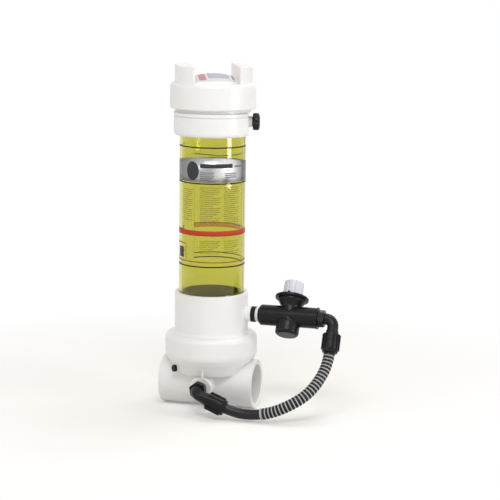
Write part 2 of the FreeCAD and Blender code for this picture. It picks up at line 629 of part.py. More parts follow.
def valve_body():
    left = -BARREL_LEFT
    rim = BARREL_RADIUS + BARREL_RIM_PROUD
    rim_start = BARREL_RIGHT - BARREL_RIM_LENGTH
    barrel = turned([(0, left, 0), (BARREL_RADIUS - BARREL_CHAMFER, left, 1.0),
                     (BARREL_RADIUS, left + BARREL_CHAMFER, 2.0), (BARREL_RADIUS, rim_start, 0),
                     (rim, rim_start, 0.3), (rim, BARREL_RIGHT, 0.5), (0, BARREL_RIGHT, 0)])
    stem = turned([(0, -STEM_BARREL_FOOT, 0), (STEM_BARREL_RADIUS, -STEM_BARREL_FOOT, 0),
                   (STEM_BARREL_RADIUS, BONNET_FOOT, 6.0), (BONNET_RADIUS, BONNET_TOP - 3, 2.0),
                   (BONNET_RADIUS, BONNET_TOP, 0), (0, BONNET_TOP, 0)])
    body = fuse(along_x(barrel), stem)
    ring_pocket = STEM_RING_RADIUS + STEM_RING_SECTION + 0.1
    cuts = [along_x(rod(BARREL_BORE, left - 1, BARREL_RIGHT + 1)),
            along_x(rod(NIPPLE_RADIUS + THREAD_FIT, left - 1, left + PORT_DEPTH)),
            along_x(rod(ELBOW_SPIGOT_RADIUS + THREAD_FIT, BARREL_RIGHT - PORT_DEPTH, BARREL_RIGHT + 1)),
            rod(PLUG_RADIUS + RUNNING_GAP, -STEM_BARREL_FOOT - 1, PLUG_TOP + MOVING_GAP),
            rod(STEM_RADIUS + RUNNING_GAP, 0, BONNET_TOP + 1),
            rod(ring_pocket, BONNET_TOP - 2 * STEM_RING_SECTION - 0.2, BONNET_TOP + 1)]
    return in_valve(body.cut(cuts))


def valve_bottom_cap():
    top = -STEM_BARREL_FOOT
    foot = top - BOTTOM_CAP_LENGTH
    neck = STEM_BARREL_RADIUS + 0.3
    spigot = PLUG_RADIUS - THREAD_FIT
    body = turned([(0, foot, 0), (BOTTOM_CAP_RADIUS, foot, BOTTOM_CAP_EDGE),
                   (BOTTOM_CAP_RADIUS, top - 4, 3.0), (neck, top, 0),
                   (spigot, top, 0), (spigot, top + BOTTOM_SPIGOT, 0.5), (0, top + BOTTOM_SPIGOT, 0)])
    return in_valve(body)


def valve_plug():
    foot = -STEM_BARREL_FOOT + BOTTOM_SPIGOT + MOVING_GAP
    body = turned([(0, foot, 0), (PLUG_RADIUS, foot, 0.4), (PLUG_RADIUS, PLUG_TOP, 0.4),
                   (STEM_RADIUS, PLUG_TOP, 0), (STEM_RADIUS, STEM_TOP, 0.4), (0, STEM_TOP, 0)])
    return in_valve(body.cut(along_x(rod(BARREL_BORE, -PLUG_RADIUS - 1, PLUG_RADIUS + 1))))


def stem_o_ring():
    return in_valve(torus(STEM_RING_RADIUS, STEM_RING_SECTION, BONNET_TOP - STEM_RING_SECTION - 0.1))


def dial_plate():
    foot = BONNET_TOP
    top = foot + DIAL_THICKNESS
    inner = DIAL_RADIUS - DIAL_RIM_WIDTH
    plate = turned([(STEM_RADIUS + MOVING_GAP, foot, 0), (DIAL_RADIUS - 1.5, foot, 1.0),
                    (DIAL_RADIUS, foot + 1.2, 0.5), (DIAL_RADIUS, top + DIAL_RIM_HEIGHT, 0.4),
                    (inner, top + DIAL_RIM_HEIGHT, 0.4), (inner, top, 0.5),
                    (STEM_RADIUS + MOVING_GAP, top, 0)])
    half = DIAL_POINTER / 2
    pointer = block((-half, -DIAL_RADIUS + 0.2, foot + 1), (half, -inner + 1.5, top + DIAL_RIM_HEIGHT + 1.8))
    return in_valve(fuse(plate, pointer))


def knob_foot():
    return BONNET_TOP + DIAL_THICKNESS + MOVING_GAP


def dial_knob():
    foot = knob_foot()
    top = foot + KNOB_LENGTH
    body = turned([(0, foot, 0), (KNOB_RADIUS, foot, 0.6), (KNOB_RADIUS - KNOB_TAPER, top, KNOB_EDGE),
                   (0, top, 0)])
    flute = rod(KNOB_FLUTE_RADIUS, foot + 2.5, top + 1)
    flute.translate(Vector(KNOB_RADIUS + KNOB_FLUTE_RADIUS - 1.6, 0, 0))
    cuts = around(flute, KNOB_FLUTES)
    cuts.append(rod(STEM_RADIUS + THREAD_FIT, foot - 1, STEM_TOP + 0.2))
    cuts.append(rod(1.6, foot, top + 1))
    cuts.append(rod(KNOB_SCREW_RADIUS + 0.4, top - KNOB_SCREW_HEAD, top + 1))
    return in_valve(body.cut(cuts))


def knob_screw():
    seat = knob_foot() + KNOB_LENGTH - KNOB_SCREW_HEAD
    top = seat + KNOB_SCREW_HEAD - 0.4
    body = turned([(0, STEM_TOP, 0), (1.5, STEM_TOP, 0), (1.5, seat, 0), (KNOB_SCREW_RADIUS, seat, 0),
                   (KNOB_SCREW_RADIUS, top, 0.8), (0, top, 0)])
    slot = block((-KNOB_SCREW_RADIUS, -0.5, top - 1), (KNOB_SCREW_RADIUS, 0.5, top + 1))
    return in_valve(body.cut(slot))


def elbow(thread_showing):
    """An elbow whose inlet comes along +X to a corner at the origin and whose outlet goes down -Z."""
    hex_end = -ELBOW_REACH + ELBOW_HEX_LENGTH
    hex_start = -ELBOW_REACH
    spigot_start = hex_start - thread_showing - ELBOW_SPIGOT_LENGTH
    inlet = rod(ELBOW_SPIGOT_RADIUS, spigot_start, hex_start)
    hexed = hexagon(ELBOW_HEX_RADIUS, hex_start, hex_end)
    trim = turned([(0, hex_start, 0), (ELBOW_HEX_RADIUS - 1.2, hex_start, 0),
                   (ELBOW_HEX_RADIUS + 0.4, hex_start + 1.6, 0), (ELBOW_HEX_RADIUS + 0.4, hex_end - 1.6, 0),
                   (ELBOW_HEX_RADIUS - 1.2, hex_end, 0), (0, hex_end, 0)])
    neck = rod(ELBOW_ARM_RADIUS, hex_end, -ELBOW_BEND)
    inlet = along_x(fuse(inlet, hexed.common(trim), neck))
    circle = Part.Face(Part.Wire(Part.makeCircle(ELBOW_ARM_RADIUS, Vector(-ELBOW_BEND, 0, 0), X_AXIS)))
    bend = circle.revolve(Vector(-ELBOW_BEND, 0, -ELBOW_BEND), Vector(0, 1, 0), 90)
    arm = rod(ELBOW_ARM_RADIUS, -ELBOW_STUB_START, -ELBOW_BEND)
    stub = turned([(0, -ELBOW_STUB_END, 0), (ELBOW_STUB_RADIUS, -ELBOW_STUB_END, 0.8),
                   (ELBOW_STUB_RADIUS, -ELBOW_STUB_START, 0.8), (0, -ELBOW_STUB_START, 0)])
    body = fuse(inlet, bend, arm, stub)
    hole = Part.Face(Part.Wire(Part.makeCircle(ELBOW_BORE, Vector(-ELBOW_BEND, 0, 0), X_AXIS)))
    cuts = [along_x(rod(ELBOW_BORE, spigot_start - 1, -ELBOW_BEND)),
            hole.revolve(Vector(-ELBOW_BEND, 0, -ELBOW_BEND), Vector(0, 1, 0), 90),
            rod(ELBOW_BORE, -ELBOW_STUB_END - 1, -ELBOW_BEND)]
    return body.cut(cuts)


def compression_nut():
    """The ribbed nut on the elbow's outlet, its axis down -Z from the elbow's corner."""
    bore = ELBOW_STUB_RADIUS + THREAD_FIT
    shelf = ELBOW_STUB_END + FERRULE_LENGTH
    nose = NUT_END - 6
    body = turned([(ELBOW_ARM_RADIUS - 1, -NUT_START, 0), (NUT_RADIUS - 0.6, -NUT_START, 0.8),
                   (NUT_RADIUS, -nose, 1.5), (NUT_NOSE_RADIUS, -NUT_END, 1.0),
                   (ELBOW_ARM_RADIUS - 1, -NUT_END, 0)])
    rib = block((NUT_RADIUS - 2, -NUT_RIB_WIDTH / 2, -nose - 1), (NUT_RADIUS + NUT_RIB_PROUD,
                NUT_RIB_WIDTH / 2, -NUT_START - 1.5))
    body = fuse(body, *around(rib, NUT_RIBS))
    cuts = [rod(bore, -shelf, -NUT_START + 1), rod(HOSE_RADIUS + HOSE_GAP, -NUT_END - 1, -shelf + 1)]
    return body.cut(cuts)


def ferrule():
    inner = HOSE_RADIUS + THREAD_FIT
    start = -ELBOW_STUB_END - FERRULE_LENGTH + 0.1
    return turned([(inner, start, 0), (FERRULE_RADIUS - 1, start, 0), (FERRULE_RADIUS, start + 2.5, 0),
                   (FERRULE_RADIUS - 0.8, -ELBOW_STUB_END, 0), (inner, -ELBOW_STUB_END, 0)])


def upper_corner():
    return Vector(STEM_X + BARREL_RIGHT + ELBOW_REACH, 0, VALVE_HEIGHT)


def upper_way():
    tilt = math.radians(UPPER_TILT)
    return Vector(0, math.sin(tilt), -math.cos(tilt))


def lower_corner():
    return Vector(0, -TAKEOFF_FACE - LOWER_THREAD_SHOWING - ELBOW_REACH, 0)


def lower_way():
    drop = math.radians(LOWER_DROP)
    return Vector(math.cos(drop), 0, -math.sin(drop))


def at_upper(shape):
    return placed(shape, upper_corner(), X_AXIS, upper_way() * -1)


def at_lower(shape):
    return placed(shape, lower_corner(), Vector(0, -1, 0), lower_way() * -1)


def hose_points():
    points = [upper_corner() + upper_way() * ELBOW_STUB_END, upper_corner() + upper_way() * HOSE_LEAD]
    points += [Vector(*place) for place in HOSE_ROUTE_MIDDLE]
    points.append(lower_corner() + lower_way() * (HOSE_LEAD + HOSE_LEAD_STEP))
    points.append(lower_corner() + lower_way() * ELBOW_STUB_END)
    return points


def path_edges(points):
    """Straight runs joined by arcs that are as large as the runs allow."""
    edges = []
    at = points[0]
    for i in range(1, len(points) - 1):
        back = points[i - 1] - points[i]
        ahead = points[i + 1] - points[i]
        half_turn = (math.pi - back.getAngle(ahead)) / 2
        reach = 0.45 * min(back.Length, ahead.Length)
        radius = reach / math.tan(half_turn)
        print("hose arc %d: radius %.1f, turn %.1f degrees" % (i, radius, math.degrees(2 * half_turn)))
        start = points[i] + back.normalize() * reach
        end = points[i] + ahead.normalize() * reach
        inward = (back + ahead).normalize()
        middle = points[i] + inward * (radius / math.cos(half_turn) - radius)
        edges.append(Part.LineSegment(at, start).toShape())
        edges.append(Part.Arc(start, middle, end).toShape())
        at = end
    edges.append(Part.LineSegment(at, points[-1]).toShape())
    return edges


def swept(edges, radius):
    first = edges[0].Vertexes[0].Point
    way = edges[0].tangentAt(edges[0].FirstParameter)
    ring = Part.Wire(Part.makeCircle(radius, first, way))
    solid = Part.Wire(edges).makePipeShell([ring], True, True)
    length = sum(edge.Length for edge in edges)
    print("tube: volume %.0f, section times length %.0f, length %.1f"
          % (solid.Volume, math.pi * radius ** 2 * length, length))
    return solid


def hose_tube():
    return swept(path_edges(hose_points()), HOSE_RADIUS)


def hose_guard():
    """The ribbed guard round the hose, from the upper nut past GUARD_BENDS of its bends."""
    edges = path_edges(hose_points())[:2 * GUARD_BENDS + 1]
    first = upper_corner() + upper_way() * (NUT_END + 0.3)
    edges[0] = Part.LineSegment(first, edges[0].Vertexes[-1].Point).toShape()
    return swept(edges, GUARD_RADIUS).cut(swept(edges, HOSE_RADIUS + HOSE_GAP))


def main():
    os.makedirs("parts", exist_ok=True)
    save("tee_fitting", tee_fitting())
    save("base_housing", base_housing())
    save("tablet_grid", tablet_grid())
    save("chamber_tube", chamber_tube())
    save("neck_collar", neck_collar())
    save("lid_cap", lid_cap())
    save("cap_o_ring", cap_o_ring())
    save("bleed_washer", bleed_washer())
    save("bleed_knob", bleed_knob())
    save("drain_washer", drain_washer())
    save("drain_plug", drain_plug())
    save("check_cage", check_cage())
    save("check_ball", check_ball())
    save("check_spring", check_spring())
    save("valve_nipple", valve_nipple())
    save("nipple_ring", nipple_ring())
    save("valve_body", valve_body())
    save("valve_bottom_cap", valve_bottom_cap())
    save("valve_plug", valve_plug())
    save("stem_o_ring", stem_o_ring())
    save("dial_plate", dial_plate())
    save("dial_knob", dial_knob())
    save("knob_screw", knob_screw())
    save("upper_elbow", at_upper(elbow(0.0)))
    save("upper_nut", at_upper(compression_nut()))
    save("upper_ferrule", at_upper(ferrule()))
    save("lower_elbow", at_lower(elbow(LOWER_THREAD_SHOWING)))
    save("lower_nut", at_lower(compression_nut()))
    save("lower_ferrule", at_lower(ferrule()))
    save("hose_tube", hose_tube())
    save("hose_guard", hose_guard())


main()
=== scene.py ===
import json
import math

import bmesh
import bpy
from mathutils import Matrix, Vector


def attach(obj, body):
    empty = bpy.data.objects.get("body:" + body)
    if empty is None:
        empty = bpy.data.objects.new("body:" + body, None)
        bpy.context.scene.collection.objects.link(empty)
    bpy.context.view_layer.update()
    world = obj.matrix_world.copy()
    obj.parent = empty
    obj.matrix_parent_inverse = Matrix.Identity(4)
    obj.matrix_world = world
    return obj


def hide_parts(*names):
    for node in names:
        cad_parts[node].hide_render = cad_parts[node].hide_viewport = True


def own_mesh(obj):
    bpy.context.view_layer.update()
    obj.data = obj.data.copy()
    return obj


# Looks of the inline pool chlorinator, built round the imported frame. Metres.

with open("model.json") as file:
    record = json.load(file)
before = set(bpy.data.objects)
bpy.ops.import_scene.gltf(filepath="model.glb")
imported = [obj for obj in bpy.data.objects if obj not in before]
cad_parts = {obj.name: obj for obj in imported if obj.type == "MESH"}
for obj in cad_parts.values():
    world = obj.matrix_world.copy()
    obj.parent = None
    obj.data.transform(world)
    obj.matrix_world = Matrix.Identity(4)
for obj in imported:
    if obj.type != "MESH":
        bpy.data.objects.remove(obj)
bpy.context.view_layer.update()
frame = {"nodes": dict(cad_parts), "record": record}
nodes = frame["nodes"]

# Camera
CAMERA_DISTANCE = 2.7258
CAMERA_AZIMUTH = 16.756
CAMERA_HEIGHT = 0.66954
CAMERA_YAW = -1.2357
CAMERA_PITCH = -9.630
CAMERA_ROLL = 0.708
CAMERA_LENS = 128.83
CAMERA_REACH = 50.0
SENSOR_WIDTH = 36.0

# Hose: the route of the part's own tube
HOSE_RADIUS = 0.00785
HOSE_ROUTE = [
    (0.19500, -0.01725, 0.07614),
    (0.19500, -0.02996, 0.05119),
    (0.18700, -0.04800, 0.02700),
    (0.17200, -0.06600, 0.00600),
    (0.14900, -0.07900, -0.00900),
    (0.12300, -0.08500, -0.02100),
    (0.09500, -0.08600, -0.02700),
    (0.06282, -0.08700, -0.02602),
    (0.03511, -0.08700, -0.01454),
]

# Ribbed guard round the hose
GUARD_START = 0.0155
GUARD_END_X = 0.106
GUARD_INNER = 0.0079
GUARD_GROOVE = 0.00815
GUARD_CREST = 0.0087
GUARD_PITCH = 0.0054
GUARD_CREST_SHARE = 0.68
GUARD_SIDES = 32
GUARD_SLOPE_SHARE = 0.06
GUARD_EDGE = 0.0001
GUARD_COLLAR = 0.0017
GUARD_COLLAR_EDGE = 0.0003

# Noise values between which a finish drifts, and how far its gloss strays
NOISE_LOW = 0.3
NOISE_HIGH = 0.7
PLASTIC_DRIFT = 14.0
PLASTIC_GLOSS_SPREAD = 0.04
INK_MOTTLE = 1200.0
INK_GLOSS_SPREAD = 0.05
INK_IOR = 1.2

# Printed film on the tube. Angles are degrees from the front, towards +X, and heights are along the tube.
TUBE_RADIUS = 0.0508
FILM_LIFT = 0.00003
INK_LIFT = 0.00009
FILM_THICKNESS = 0.00005
FILM_START = -95.0
FILM_END = 233.0
FILM_OVERLAP = 77.5
FRAME_TOP = 0.3700
FRAME_BOTTOM = 0.1879
FRAME_LINE = 0.0019
SILVER_FOOT = 0.3175
SILVER_BACK_TOP = 0.3450
SILVER_CREST = 0.0110
SILVER_CREST_ANGLE = 8.0
SILVER_CREST_SPREAD = 75.0
BACK_LINE_FOOT = 0.3471
BACK_LINE_START = 108.0
BACK_LINE_LOWEST = 187.0
BACK_LINE_RISE = 0.0125
BACK_LINE_CURVE = 1.6
BACK_LINE_END_RISE = 0.0043

# Painted highlight and painted shade in the silver's colour, darkest at the edges and brightest right of
# the front: (angle, tone)
SILVER_PAINTED_HIGHLIGHT_START = -90.0
SILVER_PAINTED_HIGHLIGHT_END = 120.0
SILVER_PAINTED_HIGHLIGHT_TONES = ((-80, 0.09), (-57, 0.13), (-27, 0.30), (-6, 0.44), (14, 0.42), (24, 0.64),
                (38, 0.85), (56, 0.72), (70, 0.40), (82, 0.11), (115, 0.16))

# Lines across the film
BAND_LINE = 0.3155
RED_FOOT = 0.2355
RED_TOP = 0.2433
THIN_LINE = 0.1952
THIN_LINE_WIDTH = 0.0014
THIN_LINE_START = -34.0
FRONT_END = 100.0
END_LINE_WIDTH = 0.7
OVERLAP_LINE_WIDTH = 1.2
BAND_STEP = 2.0
ROW_STEP = 3.0

# Box in outline, and the disc on the silver
BOX_PLACE = (-76.0, -33.4, 0.1945, 0.2225)
BOX_CORNER = 0.0040
BOX_LINE = 0.0012
CORNER_STEP = 15
DISC_ANGLE = -20.0
DISC_HEIGHT = 0.3345
DISC_HALF_WIDTH = 0.0112
DISC_HALF_HEIGHT = 0.0143
DISC_STEPS = 6

# Plain blocks and rows in the place of print: (first angle, last angle, foot, head)
TITLE_BAR = (-5.0, 53.0, 0.3395, 0.3458)
SMALL_BAR = (57.5, 86.0, 0.3402, 0.3428)
BOX_BLOCK = (-57.0, -41.0, 0.2000, 0.2160)
SILVER_ROW_PITCH = 0.0028
SILVER_ROWS = {
    "film_rows_left": (-5.2, 20.0, 0.3205, 0.3345),
    "film_rows_right": (38.0, 62.0, 0.3222, 0.3334),
}
FIELD_ROW_PITCH = 0.0031
FIELD_ROWS = {
    "film_field_left": (-44.0, -19.5, 0.2560, 0.3080),
    "film_field_middle": (-5.2, 31.0, 0.2560, 0.3120),
    "film_field_right": (37.0, 69.0, 0.2560, 0.3120),
    "film_field_low_middle": (-5.2, 31.0, 0.2060, 0.2300),
    "film_field_low_right": (37.0, 69.0, 0.2060, 0.2300),
}
ROW_SHARE = 0.45
ROW_SHORTER = (0.0, 0.07, 0.02, 0.12, 0.35)

# Plate on the cap's dome
DOME_BALL_RADIUS = 0.09809
DOME_TOP = 0.4787
LUG_TURN = 24.0
PLATE_HALF_WIDTH = 0.0300
PLATE_FRONT = 0.0325
PLATE_BACK = 0.0200
PLATE_BOW = 0.0090
PLATE_STEP = 0.003
PLATE_THICKNESS = 0.00008
PLATE_LIFT = 0.00003
MARK_LIFT = 0.00013

# Plain marks on the plate: (left, right, front, back)
PLATE_FIELD = (-0.0250, -0.0150, 0.0285, 0.0120)
PLATE_BAR = (0.0255, 0.0280, 0.0265, 0.0100)
PLATE_MIDDLE = (-0.0110, 0.0210, 0.0225, 0.0080)

# Thread round the neck. Its section is (rise, share of the depth).
NECK_RADIUS = 0.0570
THREAD_FOOT = 0.4222
THREAD_TOP = 0.4480
THREAD_PITCH = 0.0052
THREAD_DEPTH = 0.0019
THREAD_LEAST_DEPTH = 0.0001
THREAD_SECTION = ((-0.0016, -0.1), (-0.0006, 1.0), (0.0006, 1.0), (0.0016, -0.1))
THREAD_STEPS = 72
THREAD_FADE = 12

# Skirt of the valve's bottom cap, in the valve's own frame: (radius, height) round the stem's axis
STEM_X = 0.125
VALVE_HEIGHT = 0.110
VALVE_ROLL = -32.0
SKIRT_SIDES = 64
SKIRT_PROFILE = ((0.0151, -0.0240), (0.0181, -0.0240), (0.0182, -0.0235), (0.0182, -0.0120),
                 (0.0178, -0.0100), (0.0166, -0.0086), (0.0151, -0.0080))

# Surroundings
FLOOR_HEIGHT = -0.0378
FLOOR_RADIUS = 6.0
FLOOR_GLOW = 0.20
FLOOR_NEAR = 0.15
FLOOR_FAR = 0.80
FLOOR_SIDES = 96
ROOM_COLOUR = (1.0, 0.965, 0.91, 1.0)
ROOM_STRENGTH = 0.50
LAMP_AIM = (0.05, 0.0, 0.2)
COOL = (0.94, 0.97, 1.0)
WHITE = (1.0, 1.0, 1.0)


def make_camera():
    data = bpy.data.cameras.new("camera")
    data.lens = CAMERA_LENS
    data.sensor_width = SENSOR_WIDTH
    data.clip_end = CAMERA_REACH
    camera = bpy.data.objects.new("camera", data)
    bpy.context.scene.collection.objects.link(camera)
    around = math.radians(CAMERA_AZIMUTH)
    place = Vector((CAMERA_DISTANCE * math.sin(around), -CAMERA_DISTANCE * math.cos(around), CAMERA_HEIGHT))
    camera.matrix_world = (Matrix.Translation(place)
                           @ Matrix.Rotation(math.radians(CAMERA_AZIMUTH + CAMERA_YAW), 4, "Z")
                           @ Matrix.Rotation(math.radians(90 + CAMERA_PITCH), 4, "X")
                           @ Matrix.Rotation(math.radians(CAMERA_ROLL), 4, "Z"))
    bpy.context.scene.camera = camera


class Shader:
    """A node material with short calls for the nodes that every finish here uses."""

    def __init__(self, name):
        self.material = bpy.data.materials.new(name)
        self.material.use_nodes = True
        self.tree = self.material.node_tree
        self.surface = self.tree.nodes["Principled BSDF"]
        self.output = self.tree.nodes["Material Output"]
        self.place = self.tree.nodes.new("ShaderNodeTexCoord").outputs["Object"]

    def link(self, start, end):
        self.tree.links.new(start, end)

    def set(self, **values):
        for key, value in values.items():
            self.surface.inputs[key.replace("_", " ")].default_value = value

    def noise(self, scale, detail=3.0, stretch=None):
        node = self.tree.nodes.new("ShaderNodeTexNoise")
        node.inputs["Scale"].default_value = scale
        node.inputs["Detail"].default_value = detail
        place = self.place
        if stretch:
            mapping = self.tree.nodes.new("ShaderNodeMapping")
            mapping.inputs["Scale"].default_value = stretch
            self.link(place, mapping.inputs["Vector"])
            place = mapping.outputs["Vector"]
        self.link(place, node.inputs["Vector"])
        return node.outputs["Fac"]

    def ramp(self, source, *stops):
        """A colour ramp from (position, colour) stops."""
        node = self.tree.nodes.new("ShaderNodeValToRGB")
        elements = node.color_ramp.elements
        while len(elements) < len(stops):
            elements.new(0.5)
        for element, (position, colour) in zip(elements, stops):
            element.position = position
            element.color = (*colour, 1.0)
        self.link(source, node.inputs["Fac"])
        return node.outputs["Color"]

    def colour(self, source, light, dark):
        """Drifts the base colour between light and dark with a noise."""
        tone = self.ramp(source, (NOISE_LOW, dark), (NOISE_HIGH, light))
        self.link(tone, self.surface.inputs["Base Color"])

    def gloss(self, source, low, high):
        """Drifts the roughness between low and high with a noise."""
        node = self.tree.nodes.new("ShaderNodeMapRange")
        node.inputs["From Min"].default_value = NOISE_LOW
        node.inputs["From Max"].default_value = NOISE_HIGH
        node.inputs["To Min"].default_value = low
        node.inputs["To Max"].default_value = high
        self.link(source, node.inputs["Value"])
        self.link(node.outputs["Result"], self.surface.inputs["Roughness"])

    def bump(self, source, height):
        node = self.tree.nodes.new("ShaderNodeBump")
        node.inputs["Distance"].default_value = height
        node.inputs["Strength"].default_value = 1.0
        self.link(source, node.inputs["Height"])
        self.link(node.outputs["Normal"], self.surface.inputs["Normal"])

    def mix(self, share, first, second):
        """A mix of two shaders: the first at a share of 0, the second at 1."""
        node = self.tree.nodes.new("ShaderNodeMixShader")
        self.link(share, node.inputs["Fac"])
        self.link(first, node.inputs[1])
        self.link(second, node.inputs[2])
        return node.outputs["Shader"]


def moulded(name, light, dark, roughness, grain_scale, grain_height, **values):
    """Moulded plastic: a slow drift between two close colours, a fine grain, and uneven gloss."""
    shader = Shader(name)
    shader.colour(shader.noise(PLASTIC_DRIFT), light, dark)
    grain = shader.noise(grain_scale, 2.0)
    shader.gloss(grain, roughness - PLASTIC_GLOSS_SPREAD, roughness + PLASTIC_GLOSS_SPREAD)
    shader.bump(grain, grain_height)
    shader.set(**values)
    return shader.material


def tinted_clear(name):
    """Clear tube with an olive tint and faint draw lines along its height."""
    shader = Shader(name)
    drift = shader.noise(20.0, 2.0, (1.0, 1.0, 0.15))
    shader.colour(drift, (0.705, 0.686, 0.186), (0.690, 0.672, 0.176))
    lines = shader.noise(160.0, 1.0, (1.0, 1.0, 0.03))
    shader.bump(lines, 0.00002)
    shader.set(Transmission_Weight=1.0, Roughness=0.03, IOR=1.49)
    return shader.material


def metal(name):
    shader = Shader(name)
    wear = shader.noise(400.0)
    shader.colour(wear, (0.66, 0.66, 0.65), (0.52, 0.52, 0.51))
    shader.gloss(wear, 0.24, 0.36)
    shader.set(Metallic=1.0)
    return shader.material


def angle_round_tube(shader):
    """The angle from the front, in radians, as on_tube counts it."""
    parts = shader.tree.nodes.new("ShaderNodeSeparateXYZ")
    shader.link(shader.place, parts.inputs["Vector"])
    forward = shader.tree.nodes.new("ShaderNodeMath")
    forward.operation = "MULTIPLY"
    forward.inputs[1].default_value = -1.0
    shader.link(parts.outputs["Y"], forward.inputs[0])
    turn = shader.tree.nodes.new("ShaderNodeMath")
    turn.operation = "ARCTAN2"
    shader.link(parts.outputs["X"], turn.inputs[0])
    shader.link(forward.outputs["Value"], turn.inputs[1])
    return turn.outputs["Value"]


def silver_film_painted_highlight(name):
    """Printed silver whose colour carries a painted highlight and painted shade round the tube, and a very
    fine grain.
    """
    shader = Shader(name)
    share = shader.tree.nodes.new("ShaderNodeMapRange")
    share.inputs["From Min"].default_value = math.radians(SILVER_PAINTED_HIGHLIGHT_START)
    share.inputs["From Max"].default_value = math.radians(SILVER_PAINTED_HIGHLIGHT_END)
    shader.link(angle_round_tube(shader), share.inputs["Value"])
    reach = SILVER_PAINTED_HIGHLIGHT_END - SILVER_PAINTED_HIGHLIGHT_START
    stops = [((angle - SILVER_PAINTED_HIGHLIGHT_START) / reach, (tone, tone, tone)) for angle, tone in SILVER_PAINTED_HIGHLIGHT_TONES]
    # The ramp paints a highlight and shade into the base colour by the angle round the tube
    shader.link(shader.ramp(share.outputs["Result"], *stops), shader.surface.inputs["Base Color"])
    shader.gloss(shader.noise(900.0, 2.0, (1.0, 1.0, 0.25)), 0.26, 0.34)
    shader.set(Metallic=1.0)
    return shader.material


def ink(name, light, dark, roughness=0.45, cover=1.0, clear=0.0):
    """Printed ink, slightly mottled. cover is its opacity, and clear is 1 for a tint that light passes."""
    shader = Shader(name)
    mottle = shader.noise(INK_MOTTLE, 2.0)
    shader.colour(mottle, light, dark)
    shader.gloss(mottle, roughness - INK_GLOSS_SPREAD, roughness + INK_GLOSS_SPREAD)
    shader.set(Alpha=cover, Transmission_Weight=clear, IOR=INK_IOR)
    return shader.material


def new_object(name, mesh_maker, materials):
    """Makes a smooth object from a bmesh that mesh_maker fills."""
    shape = bmesh.new()
    mesh_maker(shape)
    bmesh.ops.recalc_face_normals(shape, faces=shape.faces)
    for face in shape.faces:
        face.smooth = True
    mesh = bpy.data.meshes.new(name)
    shape.to_mesh(mesh)
    shape.free()
    obj = bpy.data.objects.new(name, mesh)
    bpy.context.scene.collection.objects.link(obj)
    for material in materials:
        mesh.materials.append(material)
    return obj


def closed_grid(shape, top, bottom, loop=False):
    """Joins two grids of points into one closed sheet. loop joins the last row to the first."""
    rows = len(top)
    columns = len(top[0])
    above = [[shape.verts.new(point) for point in row] for row in top]
    below = [[shape.verts.new(point) for point in row] for row in bottom]
    for i in range(rows if loop else rows - 1):
        j = (i + 1) % rows
        for k in range(columns - 1):
            shape.faces.new((above[i][k], above[j][k], above[j][k + 1], above[i][k + 1]))
            shape.faces.new((below[i][k + 1], below[j][k + 1], below[j][k], below[i][k]))
        shape.faces.new((above[i][0], below[i][0], below[j][0], above[j][0]))
        shape.faces.new((above[j][-1], below[j][-1], below[i][-1], above[i][-1]))
    if not loop:
        for k in range(columns - 1):
            shape.faces.new((above[0][k], above[0][k + 1], below[0][k + 1], below[0][k]))
            shape.faces.new((below[-1][k], below[-1][k + 1], above[-1][k + 1], above[-1][k]))


def on_tube(angle, height, radius):
    turn = math.radians(angle)
    return (radius * math.sin(turn), -radius * math.cos(turn), height)


def print_sheet(name, places, material, lift, loop=False):
    """A thin closed sheet on the tube over a grid of (angle, height) places."""
    low = TUBE_RADIUS + lift
    high = low + FILM_THICKNESS

    def fill(shape):
        top = [[on_tube(angle, height, high) for angle, height in row] for row in places]
        bottom = [[on_tube(angle, height, low) for angle, height in row] for row in places]
        closed_grid(shape, top, bottom, loop)

    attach(new_object(name, fill, [material]), "root")


def steps(start, end, size):
    """Even steps from start to end, none longer than size."""
    count = max(1, math.ceil(abs(end - start) / size))
    return [start + (end - start) * i / count for i in range(count + 1)]


def print_band(name, start, end, low, high, material, lift=FILM_LIFT):
    """A printed band between two angles. low and high are heights, or functions of the angle."""
    foot = low if callable(low) else lambda angle: low
    head = high if callable(high) else lambda angle: high
    places = [[(angle, foot(angle)), (angle, head(angle))] for angle in steps(start, end, BAND_STEP)]
    print_sheet(name, places, material, lift)


def round_corners(start, end, low, high, radius):
    """The outline of a rounded rectangle on the tube, as (angle, height) places."""
    per_metre = math.degrees(1 / TUBE_RADIUS)
    corners = [(end - radius * per_metre, high - radius, 0),
               (start + radius * per_metre, high - radius, 90),
               (start + radius * per_metre, low + radius, 180),
               (end - radius * per_metre, low + radius, 270)]
    places = []
    for angle, height, first in corners:
        for turn in range(first, first + 91, CORNER_STEP):
            side = radius * math.cos(math.radians(turn))
            rise = radius * math.sin(math.radians(turn))
            places.append((angle + side * per_metre, height + rise))
    full = []
    for i, here in enumerate(places):
        ahead = places[(i + 1) % len(places)]
        full.append(here)
        for angle in steps(here[0], ahead[0], ROW_STEP)[1:-1]:
            share = (angle - here[0]) / (ahead[0] - here[0])
            full.append((angle, here[1] + (ahead[1] - here[1]) * share))
    return full


def print_outline(name, start, end, low, high, radius, width, material):
    """A printed line round a rounded rectangle."""
    side = math.degrees(width / TUBE_RADIUS)
    outer = round_corners(start, end, low, high, radius)
    inner = round_corners(start + side, end - side, low + width, high - width, radius - width)
    places = [[far, near] for far, near in zip(outer, inner)]
    print_sheet(name, places, material, FILM_LIFT, loop=True)


def print_rows(name, start, end, low, high, pitch, material, lift=FILM_LIFT):
    """Rows of plain bars, in the place of small print."""
    lower = TUBE_RADIUS + lift
    upper = lower + FILM_THICKNESS

    def fill(shape):
        for i in range(int((high - low) / pitch)):
            foot = high - (i + 1) * pitch
            head = foot + pitch * ROW_SHARE
            reach = end - (end - start) * ROW_SHORTER[i % len(ROW_SHORTER)]
            angles = steps(start, reach, ROW_STEP)
            top = [[on_tube(angle, foot, upper), on_tube(angle, head, upper)] for angle in angles]
            bottom = [[on_tube(angle, foot, lower), on_tube(angle, head, lower)] for angle in angles]
            closed_grid(shape, top, bottom)

    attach(new_object(name, fill, [material]), "root")


